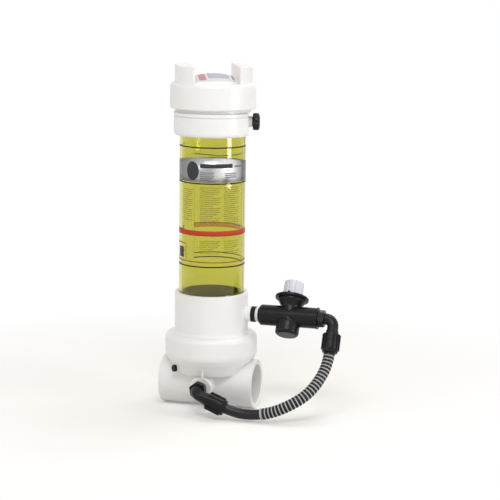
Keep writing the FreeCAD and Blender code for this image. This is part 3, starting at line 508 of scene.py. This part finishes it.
def print_disc(name, angle, height, half_width, half_height, material):
    """A printed oval, as a square grid drawn out to a disc."""
    per_metre = math.degrees(1 / TUBE_RADIUS)
    places = []
    for i in range(2 * DISC_STEPS + 1):
        row = []
        for k in range(2 * DISC_STEPS + 1):
            s = i / DISC_STEPS - 1
            t = k / DISC_STEPS - 1
            across = s * math.sqrt(1 - t * t / 2) * half_width
            up = t * math.sqrt(1 - s * s / 2) * half_height
            row.append((angle + across * per_metre, height + up))
        places.append(row)
    print_sheet(name, places, material, INK_LIFT)


def make_hose(material):
    """The hose on its route, and the points of its centre line."""
    curve = bpy.data.curves.new("hose", "CURVE")
    curve.dimensions = "3D"
    curve.resolution_u = 24
    spline = curve.splines.new("NURBS")
    spline.points.add(len(HOSE_ROUTE) - 1)
    for point, place in zip(spline.points, HOSE_ROUTE):
        point.co = (*place, 1.0)
    spline.order_u = 3
    spline.use_endpoint_u = True
    line = centre_line(curve)
    curve.bevel_depth = HOSE_RADIUS
    curve.bevel_resolution = 8
    curve.use_fill_caps = True
    curve.materials.append(material)
    hose = bpy.data.objects.new("hose", curve)
    bpy.context.scene.collection.objects.link(hose)
    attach(hose, "root")
    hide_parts("hose_tube")
    return hose, line


def centre_line(curve):
    """The points of a curve that has no bevel yet, as Blender makes them."""
    carrier = bpy.data.objects.new("hose_line", curve)
    mesh = bpy.data.meshes.new_from_object(carrier)
    line = [vertex.co.copy() for vertex in mesh.vertices]
    bpy.data.meshes.remove(mesh)
    bpy.data.objects.remove(carrier)
    return line


class Path:
    """Rings square to a line, at any distance along it."""

    def __init__(self, line):
        self.line = line
        self.reach = [0.0]
        for i in range(1, len(line)):
            self.reach.append(self.reach[-1] + (line[i] - line[i - 1]).length)
        self.sides = []
        side = Vector((1, 0, 0))
        for i in range(len(line)):
            way = self.way(i)
            side = (side - way * side.dot(way)).normalized()
            self.sides.append(side)

    def way(self, i):
        return (self.line[min(i + 1, len(self.line) - 1)] - self.line[max(i - 1, 0)]).normalized()

    def ring(self, distance, radius, count):
        i = 0
        while i < len(self.reach) - 2 and self.reach[i + 1] < distance:
            i += 1
        share = (distance - self.reach[i]) / (self.reach[i + 1] - self.reach[i])
        centre = self.line[i].lerp(self.line[i + 1], share)
        way = self.way(i).lerp(self.way(i + 1), share).normalized()
        side = self.sides[i].lerp(self.sides[i + 1], share)
        side = (side - way * side.dot(way)).normalized()
        up = way.cross(side)
        points = []
        for k in range(count + 1):
            turn = 2 * math.pi * k / count
            points.append(centre + (side * math.cos(turn) + up * math.sin(turn)) * radius)
        return points

    def distance_past_x(self, x):
        """The distance at which the line last comes down to x."""
        for i in range(len(self.line) - 1, -1, -1):
            if self.line[i].x > x:
                return self.reach[i]
        return 0.0


def swept_profile(name, path, profile, materials):
    """A closed sleeve along a path, from a loop of (distance, radius, material of the next face)."""

    def fill(shape):
        rings = []
        for distance, radius, _ in profile:
            points = path.ring(distance, radius, GUARD_SIDES)[:-1]
            rings.append([shape.verts.new(point) for point in points])
        for i, (_, _, finish) in enumerate(profile):
            here = rings[i]
            ahead = rings[(i + 1) % len(rings)]
            for k in range(GUARD_SIDES):
                n = (k + 1) % GUARD_SIDES
                face = shape.faces.new((here[k], here[n], ahead[n], ahead[k]))
                face.material_index = finish

    return new_object(name, fill, materials)


def make_guard(path, black, grey, pale):
    """The ribbed guard: black ribs with grey grooves between, and a pale band at its free end."""
    end = path.distance_past_x(GUARD_END_X)
    count = int((end - GUARD_START) / GUARD_PITCH)
    pitch = (end - GUARD_START) / count
    profile = []
    slope = pitch * GUARD_SLOPE_SHARE
    crest = pitch * GUARD_CREST_SHARE
    for i in range(count):
        foot = GUARD_START + i * pitch
        profile.append((foot, GUARD_GROOVE, 0))
        profile.append((foot + slope, GUARD_CREST - GUARD_EDGE, 0))
        profile.append((foot + slope * 3, GUARD_CREST, 0))
        profile.append((foot + crest - slope * 3, GUARD_CREST, 0))
        profile.append((foot + crest - slope, GUARD_CREST - GUARD_EDGE, 0))
        profile.append((foot + crest, GUARD_GROOVE, 1))
    profile.append((end, GUARD_GROOVE, 0))
    for i in range(count, -1, -1):
        profile.append((GUARD_START + i * pitch, GUARD_INNER, 0))
    guard = swept_profile("hose_guard_ribs", path, profile, [black, grey])
    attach(guard, "root")
    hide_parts("hose_guard")
    far = end + GUARD_COLLAR
    crown = GUARD_CREST + GUARD_COLLAR_EDGE
    band = [(end, GUARD_INNER, 0), (end, GUARD_CREST, 0), (end + GUARD_COLLAR_EDGE, crown, 0),
            (far - GUARD_COLLAR_EDGE, crown, 0), (far, GUARD_CREST, 0), (far, GUARD_INNER, 0)]
    collar = swept_profile("hose_guard_band", path, band, [pale])
    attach(collar, "root")
    return guard, collar


def neck_thread(material):
    """The screw thread round the neck, a rounded ridge that fades at both ends."""
    turns = (THREAD_TOP - THREAD_FOOT) / THREAD_PITCH
    count = int(turns * THREAD_STEPS)
    sides = len(THREAD_SECTION)

    def fill(shape):
        rows = []
        for i in range(count + 1):
            turn = 2 * math.pi * i / THREAD_STEPS
            height = THREAD_FOOT + THREAD_PITCH * i / THREAD_STEPS
            fade = min(1.0, i / THREAD_FADE, (count - i) / THREAD_FADE)
            depth = max(THREAD_DEPTH * fade, THREAD_LEAST_DEPTH)
            row = []
            for rise, share in THREAD_SECTION:
                radius = NECK_RADIUS + depth * share
                place = (radius * math.cos(turn), radius * math.sin(turn), height + rise)
                row.append(shape.verts.new(place))
            rows.append(row)
        for i in range(count):
            for k in range(sides):
                n = (k + 1) % sides
                shape.faces.new((rows[i][k], rows[i][n], rows[i + 1][n], rows[i + 1][k]))
        shape.faces.new(rows[0])
        shape.faces.new(rows[-1][::-1])

    thread = new_object("neck_thread", fill, [material])
    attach(thread, "root")


def bottom_skirt(material):
    """The upper part of the valve's bottom cap, which comes up round the stem barrel to the main barrel."""
    place = (Matrix.Translation((STEM_X, 0, VALVE_HEIGHT))
             @ Matrix.Rotation(math.radians(VALVE_ROLL), 4, "X"))

    def fill(shape):
        rings = []
        for radius, height in SKIRT_PROFILE:
            ring = []
            for k in range(SKIRT_SIDES):
                turn = 2 * math.pi * k / SKIRT_SIDES
                point = Vector((radius * math.cos(turn), radius * math.sin(turn), height))
                ring.append(shape.verts.new(place @ point))
            rings.append(ring)
        for i, here in enumerate(rings):
            ahead = rings[(i + 1) % len(rings)]
            for k in range(SKIRT_SIDES):
                n = (k + 1) % SKIRT_SIDES
                shape.faces.new((here[k], here[n], ahead[n], ahead[k]))

    skirt = new_object("valve_bottom_skirt", fill, [material])
    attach(skirt, "root")


def shortening_spring():
    """The check valve's spring, a copy of the CAD spring's mesh on the root body. It keeps its form at
    rest.
    """
    spring = bpy.data.objects.new("check_spring_coil", nodes["check_spring"].data.copy())
    bpy.context.scene.collection.objects.link(spring)
    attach(spring, "root")
    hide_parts("check_spring")
    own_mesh(spring)


def on_dome(across, along, lift):
    """A point over the cap's dome: across the channel, and along it away from the front."""
    turn = math.radians(LUG_TURN)
    x = across * math.cos(turn) - along * math.sin(turn)
    y = across * math.sin(turn) + along * math.cos(turn)
    centre = DOME_TOP - DOME_BALL_RADIUS
    z = centre + math.sqrt(DOME_BALL_RADIUS ** 2 - across ** 2 - along ** 2) + lift
    return (x, y, z)


def dome_patch(name, left, right, front, back, lift, material):
    """A thin sheet on the dome. Its front edge bows forward in the middle."""

    def fill(shape):
        starts = []
        for across in steps(left, right, PLATE_STEP):
            bow = PLATE_BOW * (1 - (across / PLATE_HALF_WIDTH) ** 2)
            starts.append((across, -front - bow))
        count = max(len(steps(start, back, PLATE_STEP)) for _, start in starts) - 1
        grid = [[(across, start + (back - start) * i / count) for i in range(count + 1)]
                for across, start in starts]
        top = [[on_dome(a, b, lift + PLATE_THICKNESS) for a, b in row] for row in grid]
        bottom = [[on_dome(a, b, lift) for a, b in row] for row in grid]
        closed_grid(shape, top, bottom)

    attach(new_object(name, fill, [material]), "cap")


def cap_plate(paper, red, grey):
    """The pale plate on the cap, with plain marks in the place of print."""
    dome_patch("cap_plate", -PLATE_HALF_WIDTH, PLATE_HALF_WIDTH, PLATE_FRONT, PLATE_BACK, PLATE_LIFT, paper)
    dome_patch("cap_plate_field", *PLATE_FIELD, MARK_LIFT, red)
    dome_patch("cap_plate_bar", *PLATE_BAR, MARK_LIFT, red)
    dome_patch("cap_plate_middle", *PLATE_MIDDLE, MARK_LIFT, grey)


def silver_top(angle):
    """Height of the silver band's upper edge, which crests at the front."""
    crest = math.exp(-((angle - SILVER_CREST_ANGLE) / SILVER_CREST_SPREAD) ** 2)
    return SILVER_BACK_TOP + SILVER_CREST * crest


def back_line(angle):
    """Height of the dark line over the silver round the back."""
    away = angle - BACK_LINE_LOWEST
    if away < 0:
        rise = BACK_LINE_RISE * (away / (BACK_LINE_START - BACK_LINE_LOWEST)) ** BACK_LINE_CURVE
    else:
        rise = BACK_LINE_END_RISE * away / (FILM_END - BACK_LINE_LOWEST)
    return BACK_LINE_FOOT + rise


def frame_lines(silver, black, red, red_back, orange, dark, field):
    """The bands and lines that run round the tube or up it."""
    half = FRAME_LINE / 2
    thin = THIN_LINE_WIDTH / 2
    foot = FRAME_BOTTOM + half
    head = FRAME_TOP - half
    print_band("film_silver", FILM_START, FILM_END, SILVER_FOOT, silver_top, silver)
    print_band("film_line_middle", FILM_START, FILM_END, BAND_LINE - half, BAND_LINE + half, black)
    print_band("film_line_silver_back", BACK_LINE_START, FILM_END, lambda angle: back_line(angle) - thin,
               lambda angle: back_line(angle) + thin, dark)
    print_band("film_red", FILM_START, FRONT_END, RED_FOOT, RED_TOP, red)
    print_band("film_red_back", FRONT_END, FILM_END, RED_FOOT, RED_TOP, red_back)
    print_band("film_line_thin", THIN_LINE_START, FILM_END, THIN_LINE - thin, THIN_LINE + thin, orange)
    print_band("film_line_top", FILM_START, FRONT_END, head, FRAME_TOP + half, black)
    print_band("film_line_bottom", FILM_START, FILM_END, FRAME_BOTTOM - half, foot, black)
    print_band("film_line_end", FILM_END - END_LINE_WIDTH, FILM_END, foot, head, field)
    print_band("film_line_overlap", FILM_OVERLAP, FILM_OVERLAP + OVERLAP_LINE_WIDTH, foot, head, field,
               INK_LIFT)


def plain_marks(orange, dark, slate, field):
    """Plain bars, blocks and rows in the places of the print."""
    print_outline("film_box", *BOX_PLACE, BOX_CORNER, BOX_LINE, orange)
    print_disc("film_disc", DISC_ANGLE, DISC_HEIGHT, DISC_HALF_WIDTH, DISC_HALF_HEIGHT, dark)
    print_band("film_bar_title", *TITLE_BAR, dark, INK_LIFT)
    print_band("film_bar_small", *SMALL_BAR, slate, INK_LIFT)
    print_band("film_block_box", *BOX_BLOCK, dark, INK_LIFT)
    for name, place in SILVER_ROWS.items():
        print_rows(name, *place, SILVER_ROW_PITCH, slate, INK_LIFT)
    for name, place in FIELD_ROWS.items():
        print_rows(name, *place, FIELD_ROW_PITCH, field)


def film_print():
    """Everything printed on the film."""
    orange = ink("orange_print", (0.36, 0.10, 0.02), (0.30, 0.08, 0.015))
    dark = ink("dark_print", (0.060, 0.062, 0.066), (0.035, 0.036, 0.040))
    slate = ink("slate_print", (0.20, 0.21, 0.23), (0.15, 0.16, 0.18))
    field = ink("field_print", (0.16, 0.155, 0.06), (0.10, 0.10, 0.03), 0.45, 0.22)
    frame_lines(silver_film_painted_highlight("silver_print_painted_highlight"),
                ink("black_print", (0.020, 0.019, 0.016), (0.010, 0.010, 0.008)),
                ink("red_print", (0.55, 0.060, 0.028), (0.49, 0.050, 0.022)),
                ink("red_print_back", (0.80, 0.34, 0.16), (0.74, 0.30, 0.13), 0.25, 1.0, 1.0),
                orange, dark, field)
    plain_marks(orange, dark, slate, field)


def dress_nodes(finishes):
    """Gives each CAD node the finish of its record slot."""
    for part in frame["record"]["subparts"]:
        mesh = nodes[part["node"]].data
        mesh.materials.clear()
        mesh.materials.append(finishes[part["material_slot"]])


def make_floor():
    """A pale floor that takes the shadow. Seen directly, it brightens to white away from the object."""
    shape = bmesh.new()
    bmesh.ops.create_circle(shape, cap_ends=True, segments=FLOOR_SIDES, radius=FLOOR_RADIUS)
    mesh = bpy.data.meshes.new("floor")
    shape.to_mesh(mesh)
    shape.free()
    floor = bpy.data.objects.new("floor", mesh)
    floor.location = (0, 0, FLOOR_HEIGHT)
    bpy.context.scene.collection.objects.link(floor)
    shader = Shader("floor_white")
    shader.colour(shader.noise(3.0), (0.82, 0.805, 0.78), (0.80, 0.785, 0.76))
    shader.set(Roughness=0.9, Specular_IOR_Level=0.0)
    lit = shader.surface.outputs["BSDF"]
    near = shader.tree.nodes.new("ShaderNodeAddShader")
    shader.link(lit, near.inputs[0])
    shader.link(glow(shader, FLOOR_GLOW), near.inputs[1])
    seen = shader.mix(far_share(shader), near.outputs["Shader"], glow(shader, 1.0))
    shader.link(shader.mix(seen_directly(shader.tree), lit, seen), shader.output.inputs["Surface"])
    mesh.materials.append(shader.material)


def glow(shader, strength):
    node = shader.tree.nodes.new("ShaderNodeEmission")
    node.inputs["Strength"].default_value = strength
    return node.outputs["Emission"]


def far_share(shader):
    """0 near the object and 1 far from it."""
    length = shader.tree.nodes.new("ShaderNodeVectorMath")
    length.operation = "LENGTH"
    shader.link(shader.place, length.inputs[0])
    grow = shader.tree.nodes.new("ShaderNodeMapRange")
    grow.interpolation_type = "SMOOTHSTEP"
    grow.inputs["From Min"].default_value = FLOOR_NEAR
    grow.inputs["From Max"].default_value = FLOOR_FAR
    shader.link(length.outputs["Value"], grow.inputs["Value"])
    return grow.outputs["Result"]


def seen_directly(tree):
    """1 for rays from the camera and those that metal, gloss and the clear tube send on."""
    path = tree.nodes.new("ShaderNodeLightPath")
    total = path.outputs["Is Camera Ray"]
    for name in ("Is Glossy Ray", "Is Transmission Ray"):
        node = tree.nodes.new("ShaderNodeMath")
        node.operation = "MAXIMUM"
        tree.links.new(total, node.inputs[0])
        tree.links.new(path.outputs[name], node.inputs[1])
        total = node.outputs["Value"]
    return total


def make_world():
    world = bpy.data.worlds.new("studio")
    world.use_nodes = True
    tree = world.node_tree
    room = tree.nodes["Background"]
    room.inputs["Color"].default_value = ROOM_COLOUR
    room.inputs["Strength"].default_value = ROOM_STRENGTH
    white = tree.nodes.new("ShaderNodeBackground")
    white.inputs["Color"].default_value = (*WHITE, 1.0)
    white.inputs["Strength"].default_value = 1.0
    mix = tree.nodes.new("ShaderNodeMixShader")
    tree.links.new(seen_directly(tree), mix.inputs["Fac"])
    tree.links.new(room.outputs["Background"], mix.inputs[1])
    tree.links.new(white.outputs["Background"], mix.inputs[2])
    tree.links.new(mix.outputs["Shader"], tree.nodes["World Output"].inputs["Surface"])
    bpy.context.scene.world = world


def softbox(name, azimuth, elevation, distance, size, power, colour=WHITE):
    """A flat lamp that looks at the middle of the object. Azimuth 0 is in front, 90 on the right."""
    data = bpy.data.lights.new(name, "AREA")
    data.shape = "RECTANGLE"
    data.size = size[0]
    data.size_y = size[1]
    data.energy = power
    data.color = colour
    lamp = bpy.data.objects.new(name, data)
    turn = math.radians(azimuth)
    rise = math.radians(elevation)
    way = Vector((math.sin(turn) * math.cos(rise), -math.cos(turn) * math.cos(rise), math.sin(rise)))
    lamp.location = Vector(LAMP_AIM) + way * distance
    lamp.rotation_euler = way.to_track_quat("Z", "Y").to_euler()
    bpy.context.scene.collection.objects.link(lamp)


def make_lights():
    softbox("key", 10, 48, 1.9, (1.1, 0.45), 12.5, COOL)
    softbox("side", 76, 5, 1.6, (0.40, 0.50), 7.5, COOL)
    softbox("fill", -40, 15, 2.4, (1.3, 1.2), 7.0, COOL)
    softbox("top", 150, 68, 2.2, (1.0, 1.0), 13.0)


bpy.context.scene.view_settings.view_transform = "Standard"
make_camera()

# Name, lighter tone, darker tone, roughness, grain scale and grain height
white = moulded("white_plastic", (0.865, 0.857, 0.848), (0.845, 0.837, 0.828), 0.26, 1400.0, 0.00002,
                Specular_IOR_Level=0.4)
black = moulded("black_plastic", (0.014, 0.014, 0.015), (0.009, 0.009, 0.010), 0.26, 1500.0, 0.00002,
                Specular_IOR_Level=0.18)
rubber = moulded("seal_rubber", (0.025, 0.025, 0.025), (0.015, 0.015, 0.015), 0.6, 1800.0, 0.00004)
hose_skin = moulded("hose_skin", (0.014, 0.014, 0.016), (0.009, 0.009, 0.010), 0.24, 900.0, 0.00002,
                    Specular_IOR_Level=0.3)
guard_skin = moulded("guard_skin", (0.010, 0.010, 0.011), (0.007, 0.007, 0.008), 0.28, 900.0, 0.00002,
                     Specular_IOR_Level=0.25)
groove_grey = moulded("guard_groove", (0.42, 0.42, 0.43), (0.34, 0.34, 0.35), 0.40, 900.0, 0.00003)
band_pale = moulded("guard_band", (0.55, 0.55, 0.56), (0.48, 0.48, 0.49), 0.40, 900.0, 0.00003)
inner_plastic = moulded("inner_plastic", (0.52, 0.50, 0.44), (0.46, 0.44, 0.39), 0.42, 1200.0, 0.00003)
grid_grey = moulded("grid_plastic", (0.85, 0.80, 0.66), (0.78, 0.74, 0.60), 0.45, 1200.0, 0.00003)
knob_pale = moulded("pale_plastic", (0.70, 0.70, 0.74), (0.64, 0.64, 0.68), 0.42, 1200.0, 0.00003)

hose, line = make_hose(hose_skin)
guard, guard_band = make_guard(Path(line), guard_skin, groove_grey, band_pale)

dress_nodes({
    "white_moulding": white,
    "tinted_tube": tinted_clear("tinted_tube"),
    "grey_grid": grid_grey,
    "seal_rubber": rubber,
    "black_moulding": black,
    "inner_plastic": inner_plastic,
    "spring_wire": metal("spring_steel"),
    "pale_knob": knob_pale,
    "hose_black": hose_skin,
    "guard_black": guard_skin,
})
shortening_spring()
neck_thread(white)
film_print()
bottom_skirt(black)
cap_plate(ink("plate_paper", (0.72, 0.72, 0.74), (0.66, 0.66, 0.69)),
          ink("plate_red", (0.58, 0.30, 0.31), (0.50, 0.24, 0.25)),
          ink("plate_grey", (0.52, 0.53, 0.57), (0.45, 0.46, 0.50)))
make_floor()
make_world()
make_lights()
